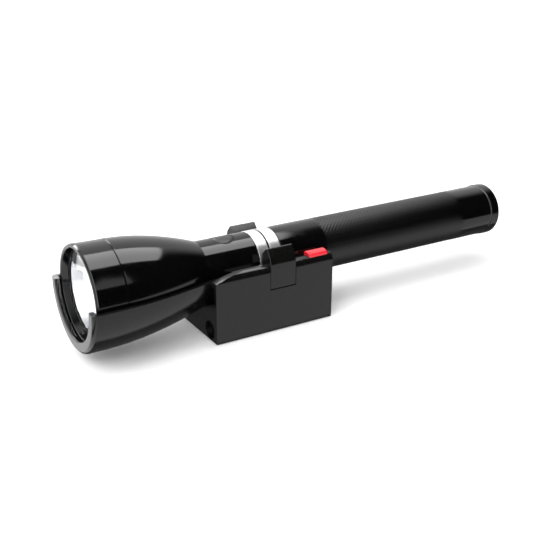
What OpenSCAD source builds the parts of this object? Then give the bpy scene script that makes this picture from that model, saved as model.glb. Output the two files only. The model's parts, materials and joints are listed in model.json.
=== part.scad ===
// Rechargeable firefighter flashlight lying in its charging cradle.
// Lamp frame: the barrel's axis is the X axis and the lens looks towards -X. The drawn parts are
// lifted so that the cradle's feet stand on z = 0 with the origin at the middle of the footprint.

/* [Flashlight] */
// Front rim of the face cap, along the lamp's axis
lamp_front_x = -116.3; // [-118:0.1:-114]
// Rear face of the tail cap
lamp_rear_x = 160.5; // [155:0.1:200]
// Outer diameter of the barrel
barrel_d = 31; // [30.6:0.1:31.2]
// Bore of the barrel, which holds 26 mm cells
barrel_bore_d = 27.4; // [27:0.1:27.6]
// Largest diameter of the head, at the face cap
cap_d = 53.8; // [52:0.1:54.4]
// Seam between the face cap and the head shell
cap_seam_x = -98.8; // [-100:0.1:-98]
// Rear edge of the head shell
neck_x = -48; // [-48.6:0.1:-47.6]
// Focal length of the reflector
reflector_f = 5; // [4.6:0.1:5.4]
// Centre of the switch along the barrel
switch_x = -32; // [-34:0.1:-31]
// Travel of the switch button
switch_travel = 1.2; // [0.6:0.1:1.3]
// Travel of the light source when the head is turned to focus
focus_travel = 3; // [1:0.1:3.5]

/* [Charging rings] */
// Front edge of the front charging ring
ring_front_x = -16.3; // [-17:0.1:-16]
// Gap between the two rings
ring_gap_x = -9.2; // [-9.6:0.1:-8.8]
// Rear edge of the rear charging ring
ring_rear_x = -1.9; // [-2.4:0.1:-1.4]

/* [Cradle] */
// Length of the charger block
block_l = 74.2; // [73:0.1:76]
// Front face of the charger block
block_front_x = -49.4; // [-49.6:0.1:-49.2]
// Width of the charger block
block_w = 51; // [50.6:0.1:52]
// Height of the barrel's axis above the table
axis_h = 35.3; // [35:0.1:38]
// Radius along the block's long top edges
block_edge_r = 4; // [3.6:0.1:4.2]
// Wall of the charger block
block_wall = 2.2; // [2:0.1:2.4]
// Gap between the barrel and the trough that it lies in
trough_gap = 0.4; // [0.3:0.05:0.5]
// Outer radius of the head cup at its mouth
cup_r = 30.8; // [30.6:0.1:31.2]
// Wall of the head cup
cup_wall = 2.5; // [2.2:0.1:2.6]
// Front face of the lip that stands before the face cap
lip_front_x = -120; // [-121:0.1:-119.8]
// Inner radius of the lip
lip_r = 24.2; // [23:0.1:24.5]

/* [Contact arms] */
// Width of each contact arm along the barrel
arm_w = 16; // [15.6:0.1:16]
// Front edge of both contact arms
arm_x = -15.75; // [-15.8:0.05:-15.6]
// Height of the arm tips above the barrel's axis
arm_top = 12.7; // [12:0.1:13]
// Radius of the pins that the arms swing on
pin_r = 1.25; // [1:0.05:1.4]

/* [Hidden] */

round_fn = 96;
small_fn = 48;
anodised = [0.03, 0.03, 0.035];
bright = [0.8, 0.8, 0.82];
steel = [0.65, 0.65, 0.67];
brass = [0.8, 0.68, 0.35];
plastic = [0.12, 0.12, 0.12];
nylon = [0.16, 0.16, 0.16];
rubber = [0.05, 0.05, 0.05];
board_green = [0.05, 0.3, 0.15];

barrel_r = barrel_d / 2;
bore_r = barrel_bore_d / 2;
cap_r = cap_d / 2;
rest_x = (lip_front_x + lamp_rear_x) / 2;

// Head
head_front_r = 26.35;
head_rear_r = 15.95;
head_curve = 1.85;
head_steps = 16;
head_wall = 2.5;
thread_r = 24.4;
thread_front_x = lamp_front_x + 7.4;
lens_front_x = lamp_front_x + 4.4;
lens_t = 2;
seal_t = 0.5;
mouth_r = 22;
mouth_x = lens_front_x + lens_t;
reflector_t = 1.3;
reflector_steps = 12;
reflector_hole_r = 4;
reflector_apex_x = mouth_x + mouth_r * mouth_r / (4 * reflector_f);
neck_r = 14.2;
neck_fit = 0.05;
neck_front_x = -66;
neck_bore_r = 12;
head_seal_x = -55;

// Light source on its focus carriage, in front of the switch housing
housing_front_x = -46;
pillar_r = 3.4;
emitter_x = reflector_apex_x - reflector_f;
emitter_t = 0.6;
emitter_half_w = 1.75;
board_t = 0.8;
sink_front_x = -72;
sink_clearance = 7;
sink_rear_x = housing_front_x - focus_travel - sink_clearance;

// Barrel and what it holds
barrel_end_x = 152.9;
ring_proud = 0.05;
ring_t = 0.55;
insulator_t = 0.4;
separator_w = 1;
ring_margin = 0.5;
ring_seat_r = barrel_r + ring_proud - ring_t - insulator_t;
switch_hole_r = 6.5;
boot_r = 6.5;
boot_top_z = 15.7;
boot_roof_z = 14.2;
boot_flange_z = 13.3;
boot_foot_z = 12.6;
plunger_head_z = 12;
spring_seat_z = 8;
plunger_foot_z = 6;
well_depth = 1.8;
housing_rear_x = -17.2;
cell_r = 13.05;
cell_l = 65.5;
cell_front_x = -14.4;
cell_gap = 0.2;
cells_end_x = cell_front_x + 2 * cell_l + cell_gap;
tail_plug_x = 141;
tail_seat_x = tail_plug_x + 14;
tail_cap_r = 15.95;
tail_fit = 0.05;

// Cradle, in the lamp frame
foot_proud = 0.5;
base_z = foot_proud - axis_h;
half_w = block_w / 2;
block_rear_x = block_front_x + block_l;
crest_z = block_edge_r + 0.1;
crest_y = half_w - block_edge_r;
trough_r = barrel_r + trough_gap;
trough_wall_r = trough_r + 2.1;
inner_w = half_w - block_wall;
cover_t = 2.2;
cover_z = base_z + cover_t;
board_z = cover_z + 1.6;
board_top_z = board_z + 1.6;
cup_rim_z = 0.6;
cup_neck_x = -49;
cup_end_x = -37;
cup_curve = 1.9;
cup_drop = 10.2;
cup_curve_x = -110;
cup_steps = 16;
lip_t = 3.1;
socket_r = 20.7;
socket_wall_r = 23.5;
socket_front_x = -44;
cup_screw_x = -41;
cup_screw_y = 5;
cup_screw_z = -25;
jack_y = -17.6;
jack_z = -28.9;
jack_hole_r = 5.2;
jack_front_x = block_front_x + block_wall;
pivot_y = 21;
pivot_z = -12.5;
window_z = -10.05;
window_gap = 0.25;
arm_inner_y = 15.95;
lug_r = 2;
near_plate = [-8.4, -2.4];
far_plate = [-15.2, -10];
ear_w = 2.4;
ear_gap = 0.3;
ears_front_x = arm_x - ear_gap - ear_w;
ears_rear_x = arm_x + arm_w + ear_gap + ear_w;
screw_xs = [-27, 6.6];
screw_y = 19;
insert_xs = [-30, 12];
feet_xs = [-42, 17.5];
foot_y = 11;
foot_r = 4;
led_x = 15.9;
led_y = -21.1;

// Moves from the lamp frame to the part's frame
module place() translate([-rest_x, 0, axis_h]) children();

// Solid of revolution about the barrel's axis, from [x, radius] points
module revolve(points) {
    rotate([0, 90, 0]) rotate_extrude($fn = round_fn) polygon([for (p = points) [p[1], p[0]]]);
}

// Tube about the barrel's axis
module tube(x0, x1, outer, inner = 0) {
    revolve([[x0, inner], [x0, outer], [x1, outer], [x1, inner]]);
}

// Seal ring of round section about the barrel's axis
module seal_ring(x, ring_r, section_r) {
    rotate([0, 90, 0]) rotate_extrude($fn = round_fn) translate([ring_r, x]) circle(section_r, $fn = 24);
}

// Cylinder along X with its axis at [y, z]
module rod(x0, x1, y, z, r) {
    translate([x0, y, z]) rotate([0, 90, 0]) cylinder(h = x1 - x0, r = r, $fn = small_fn);
}

// Box between two corners
module block(low, high) translate(low) cube(high - low);

// Extrusion along X of an outline in Y and Z
module bar_x(x0, x1) {
    translate([x0, 0, 0]) rotate([90, 0, 90]) linear_extrude(x1 - x0) children();
}

// Helical spring along Z: r is its mean radius, wire its wire radius
module coil_spring(length, r, wire, turns) {
    sides = 6;
    per_turn = 16;
    rings = turns * per_turn;
    pitch = (length - 2 * wire) / turns;
    points = [for (i = [0:rings]) let (a = 360 * i / per_turn, z = wire + pitch * i / per_turn)
        for (j = [0:sides - 1]) let (b = 360 * j / sides, d = r + wire * cos(b))
            [d * cos(a), d * sin(a), z + wire * sin(b)]];
    walls = [for (i = [0:rings - 1]) for (j = [0:sides - 1]) let (k = (j + 1) % sides)
        [i * sides + j, i * sides + k, (i + 1) * sides + k, (i + 1) * sides + j]];
    front = [for (j = [0:sides - 1]) sides - 1 - j];
    back = [for (j = [0:sides - 1]) rings * sides + j];
    polyhedron(points, concat(walls, [front, back]));
}

// Outer radius of the head shell at x
function head_r(x) = let (u = (x - cap_seam_x) / (neck_x - cap_seam_x))
    head_front_r - (head_front_r - head_rear_r) * pow(max(0, u), head_curve);

// Outer radius of the head cup at x
function cup_outer(x) = let (u = (x - cup_curve_x) / (cup_neck_x - cup_curve_x))
    cup_r - cup_drop * pow(max(0, u), cup_curve);

// ---- Flashlight ----

module face_cap() {
    color(anodised) place() revolve([
        [lamp_front_x, cap_r - 2.1], [lens_front_x - seal_t, thread_r - 1],
        [lens_front_x - seal_t, thread_r], [cap_seam_x - 0.2, thread_r],
        [cap_seam_x - 0.2, head_front_r - 0.15], [cap_seam_x - 0.45, head_front_r + 0.1],
        [lamp_front_x + 5, cap_r - 0.1], [lamp_front_x + 0.8, cap_r],
        [lamp_front_x + 0.2, cap_r - 0.2], [lamp_front_x, cap_r - 0.6]]);
}

module lens() {
    color([0.85, 0.9, 0.95, 0.35]) place() tube(lens_front_x, lens_front_x + lens_t, thread_r - 0.1);
}

module lens_seal() {
    color(rubber) place()
        tube(lens_front_x - seal_t, lens_front_x, thread_r - 0.05, thread_r - 1);
}

module reflector() {
    step = (mouth_r - reflector_hole_r) / reflector_steps;
    radii = [for (i = [0:reflector_steps]) reflector_hole_r + step * i];
    inner = [for (r = radii) [reflector_apex_x - r * r / (4 * reflector_f), r]];
    outer = [for (i = [reflector_steps:-1:0]) inner[i] + [reflector_t, 0.9]];
    color([0.85, 0.86, 0.88]) place() {
        revolve(concat(inner, outer));
        tube(mouth_x, thread_front_x, thread_r - 0.1, mouth_r);
    }
}

module head_shell() {
    step = (neck_x - cap_seam_x) / head_steps;
    outside = [for (i = [1:head_steps]) let (x = cap_seam_x + i * step) [x, head_r(x)]];
    inside_rear = neck_front_x - 2;
    inside = [for (x = [inside_rear, -76, -84, -92]) [x, min(head_r(x) - head_wall, 22.8)]];
    color(anodised) place() revolve(concat(
        [[thread_front_x, 23.3], [thread_front_x, thread_r - 0.05], [cap_seam_x, thread_r - 0.05],
        [cap_seam_x + 0.15, head_front_r - 0.2], [cap_seam_x + 0.4, head_front_r]],
        outside, [[neck_x, neck_r + neck_fit], [inside_rear, neck_r + neck_fit]],
        inside, [[-100, 23.3]]));
}

module head_seal() {
    color(rubber) place() seal_ring(head_seal_x, neck_r - 0.75, 0.65);
}

module led_emitter() {
    color([0.95, 0.85, 0.35]) place() {
        block([emitter_x, -emitter_half_w, -emitter_half_w],
            [emitter_x + emitter_t, emitter_half_w, emitter_half_w]);
        intersection() {
            translate([emitter_x, 0, 0]) sphere(r = 1.5, $fn = 32);
            block([emitter_x - 2, -2, -2], [emitter_x, 2, 2]);
        }
    }
}

module led_board() {
    color([0.9, 0.9, 0.9]) place()
        tube(emitter_x + emitter_t, emitter_x + emitter_t + board_t, pillar_r - 0.1);
}

module led_pillar() {
    board_back_x = emitter_x + emitter_t + board_t;
    color(steel) place() revolve([
        [board_back_x, 0], [board_back_x, pillar_r], [sink_front_x - 4, pillar_r],
        [sink_front_x, 8], [sink_front_x, neck_bore_r - neck_fit],
        [sink_rear_x, neck_bore_r - neck_fit], [sink_rear_x, 0]]);
}

module barrel() {
    color(anodised) place() difference() {
        revolve([
            [neck_front_x, neck_bore_r], [neck_front_x, neck_r],
            [head_seal_x - 0.8, neck_r], [head_seal_x - 0.8, neck_r - 1.5],
            [head_seal_x + 0.8, neck_r - 1.5], [head_seal_x + 0.8, neck_r],
            [neck_x + 0.1, neck_r], [neck_x + 0.1, barrel_r - 0.2], [neck_x + 0.3, barrel_r],
            [ring_front_x - ring_margin, barrel_r], [ring_front_x - ring_margin, ring_seat_r],
            [ring_rear_x + ring_margin, ring_seat_r], [ring_rear_x + ring_margin, barrel_r],
            [barrel_end_x - 0.4, barrel_r], [barrel_end_x, barrel_r - 0.4],
            [barrel_end_x, bore_r], [housing_front_x, bore_r], [housing_front_x, neck_bore_r]]);
        translate([switch_x, 0, 0]) cylinder(h = 30, r = switch_hole_r, $fn = small_fn);
    }
}

module ring_insulator() {
    floor_r = ring_seat_r + insulator_t;
    top_r = barrel_r - 0.05;
    half_gap = separator_w / 2;
    color(nylon) place() revolve([
        [ring_front_x - ring_margin, ring_seat_r], [ring_front_x - ring_margin, top_r], [ring_front_x, top_r],
        [ring_front_x, floor_r], [ring_gap_x - half_gap, floor_r], [ring_gap_x - half_gap, top_r],
        [ring_gap_x + half_gap, top_r], [ring_gap_x + half_gap, floor_r],
        [ring_rear_x, floor_r], [ring_rear_x, top_r], [ring_rear_x + ring_margin, top_r],
        [ring_rear_x + ring_margin, ring_seat_r]]);
}

module front_charge_ring() {
    color(bright) place() tube(ring_front_x, ring_gap_x - separator_w / 2,
        barrel_r + ring_proud, barrel_r + ring_proud - ring_t);
}

module rear_charge_ring() {
    color(bright) place() tube(ring_gap_x + separator_w / 2, ring_rear_x,
        barrel_r + ring_proud, barrel_r + ring_proud - ring_t);
}

module switch_boot() {
    color(rubber) place() translate([switch_x, 0, 0]) rotate_extrude($fn = small_fn)
        polygon([[0, boot_roof_z], [0, boot_top_z], [2.5, boot_top_z - 0.05], [4.2, boot_top_z - 0.3],
            [5, boot_top_z - 0.8], [5.1, boot_roof_z + 0.1], [5.1, boot_flange_z], [5.9, boot_flange_z],
            [5.9, boot_foot_z], [4.6, boot_foot_z], [4.6, boot_roof_z]]);
}

module switch_retainer() {
    color(rubber) place() translate([switch_x, 0, 0]) rotate_extrude($fn = small_fn)
        polygon([[5.3, 13.5], [5.3, 14.7], [5.6, 14.9], [6.1, 14.7], [6.4, 14.2], [6.4, 13.5]]);
}

module switch_plunger() {
    color(nylon) place() translate([switch_x, 0, 0]) {
        translate([0, 0, plunger_head_z])
            cylinder(h = boot_roof_z - plunger_head_z, r = 4.5, $fn = small_fn);
        translate([0, 0, plunger_foot_z])
            cylinder(h = plunger_head_z - plunger_foot_z, r = 1.9, $fn = small_fn);
    }
}

module switch_spring() {
    color(steel) place() translate([switch_x, 0, spring_seat_z])
        coil_spring(length = plunger_head_z - spring_seat_z, r = 3, wire = 0.3, turns = 4);
}

module switch_housing() {
    color(nylon) place() difference() {
        tube(housing_front_x + 0.2, housing_rear_x, bore_r - 0.1);
        translate([switch_x, 0, boot_foot_z - switch_travel - 0.1])
            cylinder(h = 10, r = boot_r, $fn = small_fn);
        translate([switch_x, 0, spring_seat_z]) cylinder(h = 10, r = 5.2, $fn = small_fn);
        translate([switch_x, 0, plunger_foot_z - switch_travel - well_depth])
            cylinder(h = 10, r = 2, $fn = small_fn);
        block([housing_front_x, -3, -3], [housing_front_x + 8, 3, 3]);
    }
}

module control_board() {
    color(board_green) place() {
        tube(housing_rear_x, housing_rear_x + 1.4, bore_r - 0.6);
        tube(housing_rear_x + 1.4, cell_front_x, 3);
    }
}

module battery_cells() {
    color([0.2, 0.35, 0.6]) place() for (i = [0, 1]) {
        front_x = cell_front_x + i * (cell_l + cell_gap);
        tube(front_x, front_x + cell_l, cell_r - 0.05);
    }
}

module battery_sleeve() {
    color([0.85, 0.85, 0.85]) place() tube(cell_front_x + 0.5, cells_end_x - 0.5, cell_r + 0.3, cell_r);
}

module tail_cap() {
    plug_r = bore_r - tail_fit;
    groove_x = tail_plug_x + 8;
    color(anodised) place() revolve([
        [tail_plug_x, 9], [tail_plug_x, plug_r - 0.4], [tail_plug_x + 0.4, plug_r],
        [groove_x, plug_r], [groove_x, plug_r - 1.2], [groove_x + 1.6, plug_r - 1.2],
        [groove_x + 1.6, plug_r], [barrel_end_x + 0.1, plug_r],
        [barrel_end_x + 0.1, tail_cap_r - 0.3], [barrel_end_x + 0.4, tail_cap_r],
        [lamp_rear_x - 2.4, tail_cap_r], [lamp_rear_x - 1.2, tail_cap_r - 0.5],
        [lamp_rear_x - 0.4, tail_cap_r - 1.3], [lamp_rear_x, tail_cap_r - 2.3],
        [lamp_rear_x, 9.5], [lamp_rear_x - 0.8, 9], [lamp_rear_x - 0.8, 0],
        [tail_seat_x, 0], [tail_seat_x, 9]]);
}

module tail_seal() {
    color(rubber) place() seal_ring(tail_plug_x + 8.8, bore_r - 0.68, 0.55);
}

module tail_spring() {
    start_x = cells_end_x + 0.05;
    color(steel) place() translate([start_x, 0, 0]) rotate([0, 90, 0])
        coil_spring(length = tail_seat_x - start_x, r = 7.6, wire = 0.7, turns = 6);
}

// ---- Cradle ----

// Outline of the block across the barrel: rounded long top edges and sloping inner flanks
module block_outline() {
    difference() {
        union() {
            translate([-half_w, base_z]) square([block_w, crest_z - block_edge_r - base_z]);
            translate([-crest_y, base_z]) square([2 * crest_y, crest_z - base_z]);
            for (side = [-1, 1]) translate([side * crest_y, crest_z - block_edge_r])
                circle(block_edge_r, $fn = 64);
        }
        polygon([[0.9 - crest_y, crest_z + 0.01], [-trough_r, cup_rim_z], [trough_r, cup_rim_z],
            [crest_y - 0.9, crest_z + 0.01]]);
    }
}

// Trough and the flared seat of the head cup, cut out of the block
module trough_cut() {
    flare_x = -30;
    flare_r = socket_r - cup_wall - 0.1;
    flare = [for (i = [0:6]) let (u = 1 - i / 6)
        [flare_x + (cup_end_x - flare_x) * u, trough_r + (flare_r - trough_r) * u * u]];
    revolve(concat([[block_front_x - 1, 0], [block_front_x - 1, socket_r], [cup_end_x, socket_r]],
        flare, [[block_rear_x + 1, trough_r], [block_rear_x + 1, 0]]));
}

// Space above the drooping front of the block's top
module saddle_cut() {
    droop_r = 71;
    droop_x = -27;
    difference() {
        block([block_front_x - 1, -half_w - 1, -2], [droop_x, half_w + 1, crest_z + 1]);
        translate([droop_x, 0, crest_z - droop_r]) rotate([90, 0, 0])
            cylinder(h = block_w + 4, r = droop_r, center = true, $fn = 360);
    }
}

module cavity() {
    front_x = block_front_x + block_wall;
    rear_x = block_rear_x - block_wall;
    roof_z = crest_z - block_edge_r - block_wall + 0.4;
    difference() {
        block([front_x, -inner_w, base_z - 1], [rear_x, inner_w, roof_z]);
        tube(block_front_x, block_rear_x, trough_wall_r);
        tube(socket_front_x, cup_end_x + 2, socket_wall_r);
        block([cup_screw_x - 3, -8, -24], [cup_screw_x + 3, 8, 0]);
    }
}

// Opening in the front wall around the neck of the head cup
module neck_opening() {
    bar_x(block_front_x - 1, block_front_x + block_wall + 0.1)
        polygon([[-inner_w, -2.6], [-inner_w, -11.4], [-12, -16.6], [12, -16.6],
            [inner_w, -11.4], [inner_w, -2.6]]);
}

// Windows in the side wall and the crest that the contact arms stand in
module arm_windows() {
    x0 = arm_x - window_gap;
    x1 = arm_x + arm_w + window_gap;
    for (side = [-1, 1]) scale([1, side, 1]) {
        block([x0, inner_w - 0.5, window_z], [x1, half_w + 1, crest_z + 1]);
        difference() {
            block([x0, trough_r - 0.6, -2], [x1, half_w, crest_z + 1]);
            tube(x0 - 1, x1 + 1, trough_wall_r);
        }
        block([x0, trough_r - 0.6, 0.4], [x1, half_w, crest_z + 1]);
    }
}

module arm_ears() {
    for (side = [-1, 1]) for (x = [ears_front_x, ears_rear_x - ear_w])
        scale([1, side, 1])
            block([x, pivot_y - 2.6, pivot_z - 2.6], [x + ear_w, inner_w + 0.5, pivot_z + 2.6]);
}

module cradle_base() {
    post_top = -1;
    color(plastic) place() difference() {
        union() {
            difference() {
                bar_x(block_front_x, block_rear_x) block_outline();
                cavity();
                neck_opening();
                saddle_cut();
            }
            arm_ears();
            for (x = screw_xs) for (side = [-1, 1]) translate([x, side * screw_y, cover_z])
                cylinder(h = post_top - cover_z, r = 3.2, $fn = small_fn);
        }
        trough_cut();
        arm_windows();
        rod(block_front_x - 1, block_front_x + block_wall + 0.1, jack_y, jack_z, jack_hole_r);
        for (side = [-1, 1])
            rod(ears_front_x - 1, ears_rear_x + 1, side * pivot_y, pivot_z, pin_r);
        for (x = screw_xs) for (side = [-1, 1]) translate([x, side * screw_y, cover_z - 1])
            cylinder(h = 11, r = 1.25, $fn = small_fn);
        block([led_x - 4.4, led_y - 1.7, -3], [led_x + 4.4, led_y + 1.7, crest_z + 1]);
        for (side = [-1, 1]) translate([cup_screw_x, side * cup_screw_y, cup_screw_z])
            cylinder(h = 10, r = 1.2, $fn = small_fn);
    }
}

module head_cup() {
    step = (cup_neck_x - cup_curve_x) / cup_steps;
    cup_neck_r = cup_outer(cup_neck_x);
    curve = [for (i = [0:cup_steps]) let (x = cup_curve_x + i * step) [x, cup_outer(x)]];
    inside = [for (i = [cup_steps:-1:0]) let (x = cup_curve_x + i * step)
        [x, cup_outer(x) - cup_wall]];
    color(plastic) place() {
        difference() {
            revolve(concat([[lip_front_x, lip_r + 0.6], [lip_front_x, cup_r - 2.4],
                [lip_front_x + 0.7, cup_r - 0.7], [lip_front_x + 2.4, cup_r]], curve,
                [[cup_end_x, cup_neck_r], [cup_end_x, cup_neck_r - cup_wall]], inside,
                [[lip_front_x + lip_t, cup_r - cup_wall], [lip_front_x + lip_t, lip_r],
                [lip_front_x + 0.6, lip_r]]));
            block([lip_front_x - 1, -40, cup_rim_z], [cup_end_x + 1, 40, 40]);
            for (side = [-1, 1]) translate([cup_screw_x, side * cup_screw_y, cup_screw_z])
                cylinder(h = 6.8, r = 1, $fn = small_fn);
        }
    }
}

module cup_screws() {
    color(steel) place() for (side = [-1, 1])
        translate([cup_screw_x, side * cup_screw_y, cup_screw_z - 0.2]) {
            cylinder(h = 1.2, r = 2, $fn = small_fn);
            translate([0, 0, 1.2]) cylinder(h = 5.7, r = 0.98, $fn = small_fn);
        }
}

module bottom_cover() {
    gap = 0.2;
    front_x = block_front_x + block_wall + gap;
    rear_x = block_rear_x - block_wall - gap;
    color(plastic) place() difference() {
        union() {
            block([front_x, -inner_w + gap, base_z], [rear_x, inner_w - gap, cover_z]);
            for (x = insert_xs) translate([x, 0, base_z]) cylinder(h = 9, r = 5, $fn = small_fn);
            for (x = [-20, 2]) for (y = [-11, 11]) translate([x, y, cover_z])
                cylinder(h = board_z - cover_z, r = 2, $fn = small_fn);
        }
        for (x = screw_xs) for (side = [-1, 1]) translate([x, side * screw_y, base_z - 1]) {
            cylinder(h = 5, r = 1.6, $fn = small_fn);
            cylinder(h = 2.2, r = 2.9, $fn = small_fn);
        }
        for (x = insert_xs) translate([x, 0, base_z - 1]) cylinder(h = 8.5, r = 3, $fn = small_fn);
        for (x = feet_xs) for (side = [-1, 1]) translate([x, side * foot_y, base_z - 1])
            cylinder(h = 1.9, r = foot_r + 0.1, $fn = small_fn);
    }
}

module cover_screws() {
    color(steel) place() for (x = screw_xs) for (side = [-1, 1])
        translate([x, side * screw_y, base_z]) {
            difference() {
                translate([0, 0, 0.1]) cylinder(h = 1.1, r = 2.7, $fn = small_fn);
                for (a = [0, 90]) rotate([0, 0, a]) block([-1.6, -0.3, -1], [1.6, 0.3, 0.7]);
            }
            translate([0, 0, 1.2]) cylinder(h = 9, r = 1.23, $fn = small_fn);
        }
}

module rubber_feet() {
    color(rubber) place() for (x = feet_xs) for (side = [-1, 1])
        translate([x, side * foot_y, -axis_h])
            cylinder(h = foot_proud + 0.9, r = foot_r, $fn = small_fn);
}

module mounting_inserts() {
    color(brass) place() for (x = insert_xs) translate([x, 0, base_z]) difference() {
        cylinder(h = 7.5, r = 3, $fn = small_fn);
        translate([0, 0, -1]) cylinder(h = 10, r = 2, $fn = small_fn);
    }
}

// Contact arm on the +Y side, in the lamp frame
module contact_arm() {
    difference() {
        union() {
            bar_x(arm_x, arm_x + arm_w) polygon([
                [half_w, -9.45], [half_w, 5.2], [half_w - 0.4, 6.9], [half_w - 1.3, 8.7],
                [half_w - 2.7, 10.4], [half_w - 4.3, arm_top - 0.5], [half_w - 5, arm_top - 0.05],
                [half_w - 5.3, arm_top - 0.2], [arm_inner_y + 0.4, 9.1], [arm_inner_y, 8.7],
                [arm_inner_y, 1.4], [arm_inner_y + 0.6, 0.8], [21, 0.8], [22.9, -1.2],
                [22.9, -5], [20.7, -7.5], [20.2, pivot_z], [22.8, pivot_z], [22.9, -9.45]]);
            rod(arm_x, arm_x + arm_w, pivot_y, pivot_z, lug_r);
        }
        rod(arm_x - 1, arm_x + arm_w + 1, pivot_y, pivot_z, pin_r + 0.05);
        rod(arm_x + 5, arm_x + arm_w - 5, pivot_y, pivot_z, lug_r + 0.5);
    }
}

// Contact plate, also used for its pocket; span is its front and rear edge along the barrel
module plate_shape(span) block([span[0], arm_inner_y - 0.15, 1.6],
    [span[1], arm_inner_y + 0.6, 7.6]);

module near_contact_arm() {
    color(plastic) place() scale([1, -1, 1]) difference() {
        contact_arm();
        plate_shape(near_plate);
    }
}

module far_contact_arm() {
    color(plastic) place() difference() {
        contact_arm();
        plate_shape(far_plate);
    }
}

module near_arm_pin() {
    color(steel) place()
        rod(ears_front_x, ears_rear_x, -pivot_y, pivot_z, pin_r);
}

module far_arm_pin() {
    color(steel) place()
        rod(ears_front_x, ears_rear_x, pivot_y, pivot_z, pin_r);
}

module arm_springs() {
    color(steel) place() for (side = [-1, 1])
        translate([arm_x + 5.3, side * pivot_y, pivot_z]) rotate([0, 90, 0])
            coil_spring(length = arm_w - 10.6, r = 1.85, wire = 0.35, turns = 4);
}

module near_contact_plate() {
    color(brass) place() scale([1, -1, 1]) plate_shape(near_plate);
}

module far_contact_plate() {
    color(brass) place() plate_shape(far_plate);
}

module charger_board() {
    color(board_green) place() {
        block([-23, -14, board_z], [5, 14, board_top_z]);
        block([-19, -6, board_top_z], [-9, 4, board_top_z + 4]);
        translate([-2, 6, board_top_z]) cylinder(h = 6, r = 3, $fn = small_fn);
    }
}

module dc_jack() {
    color(rubber) place() difference() {
        block([jack_front_x, jack_y - 4.5, jack_z - 3.6], [jack_front_x + 13.5, jack_y + 4.5, jack_z + 5.2]);
        rod(jack_front_x - 1, jack_front_x + 9.5, jack_y, jack_z, 2.8);
        rod(jack_front_x + 9, jack_front_x + 20, jack_y, jack_z, 1);
    }
}

module jack_pin() {
    color(brass) place() {
        rod(jack_front_x + 1.5, jack_front_x + 15, jack_y, jack_z, 1);
        translate([jack_front_x + 1.5, jack_y, jack_z]) sphere(r = 1, $fn = 32);
    }
}

module indicator_lens() {
    lens_l = 11.8;
    color([0.85, 0.1, 0.15]) place() {
        bar_x(led_x - lens_l / 2, led_x + lens_l / 2) difference() {
            polygon([[led_y - 2.7, 2.4], [led_y - 2.7, 4.6], [led_y - 2.1, 5.3], [led_y - 0.6, 5.85],
                [led_y + 1.6, 6], [led_y + 2.5, 5.7], [led_y + 2.8, 5], [led_y + 2.8, 2.4]]);
            block_outline();
        }
        block([led_x - 4.3, led_y - 1.6, 0.8], [led_x + 4.3, led_y + 1.6, crest_z - 0.4]);
    }
}

module indicator_led() {
    color([0.9, 0.2, 0.2]) place() translate([led_x, led_y, 0]) {
        translate([0, 0, -5.4]) cylinder(h = 4.4, r = 1.5, $fn = small_fn);
        translate([0, 0, -5.4]) cylinder(h = 0.8, r = 1.9, $fn = small_fn);
        translate([0, 0, -1]) sphere(r = 1.5, $fn = 32);
    }
}

module indicator_board() {
    color(board_green) place()
        block([led_x - 5.7, -inner_w, -6.8], [block_rear_x - block_wall, led_y + 2.6, -5.4]);
}

face_cap();
lens();
lens_seal();
reflector();
head_shell();
head_seal();
led_emitter();
led_board();
led_pillar();
barrel();
ring_insulator();
front_charge_ring();
rear_charge_ring();
switch_boot();
switch_retainer();
switch_plunger();
switch_spring();
switch_housing();
control_board();
battery_cells();
battery_sleeve();
tail_cap();
tail_seal();
tail_spring();
cradle_base();
head_cup();
cup_screws();
bottom_cover();
cover_screws();
rubber_feet();
mounting_inserts();
near_contact_arm();
far_contact_arm();
near_arm_pin();
far_arm_pin();
arm_springs();
near_contact_plate();
far_contact_plate();
charger_board();
dc_jack();
jack_pin();
indicator_lens();
indicator_led();
indicator_board();
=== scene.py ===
"""Looks of the rechargeable flashlight in its charging cradle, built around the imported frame.

Lengths below are in millimetres in the lamp's own frame: X runs along the barrel's axis from the
lens (-X) to the tail cap (+X), Z is up, and the barrel's axis is y = 0, z = 0.
"""
import json
import math

import bmesh
import bpy
from mathutils import Matrix, Vector


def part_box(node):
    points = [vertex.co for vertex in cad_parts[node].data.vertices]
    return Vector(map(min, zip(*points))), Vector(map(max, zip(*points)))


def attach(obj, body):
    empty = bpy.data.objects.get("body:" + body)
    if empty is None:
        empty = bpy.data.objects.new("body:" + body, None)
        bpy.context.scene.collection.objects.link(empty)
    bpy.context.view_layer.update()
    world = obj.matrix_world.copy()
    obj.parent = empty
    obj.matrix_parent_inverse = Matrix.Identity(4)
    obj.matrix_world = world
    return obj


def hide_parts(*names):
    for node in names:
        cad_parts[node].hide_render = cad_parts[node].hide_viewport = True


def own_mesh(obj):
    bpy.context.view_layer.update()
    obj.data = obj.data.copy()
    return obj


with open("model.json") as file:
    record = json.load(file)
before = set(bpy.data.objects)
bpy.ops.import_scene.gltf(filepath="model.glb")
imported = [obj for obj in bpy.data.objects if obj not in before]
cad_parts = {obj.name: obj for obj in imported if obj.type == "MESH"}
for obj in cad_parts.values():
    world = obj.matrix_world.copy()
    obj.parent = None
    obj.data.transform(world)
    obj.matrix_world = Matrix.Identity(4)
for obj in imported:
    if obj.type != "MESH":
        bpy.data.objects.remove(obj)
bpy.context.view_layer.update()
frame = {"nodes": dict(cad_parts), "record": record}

MM = 0.001
NECK_FRONT_X = -66.0


def node_span(node):
    """Lowest and highest corners of a CAD node, in millimetres in the lamp's frame."""
    low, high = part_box(node)
    return ([low[0] / MM - lamp_x, low[1] / MM, low[2] / MM - axis_z],
            [high[0] / MM - lamp_x, high[1] / MM, high[2] / MM - axis_z])


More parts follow.
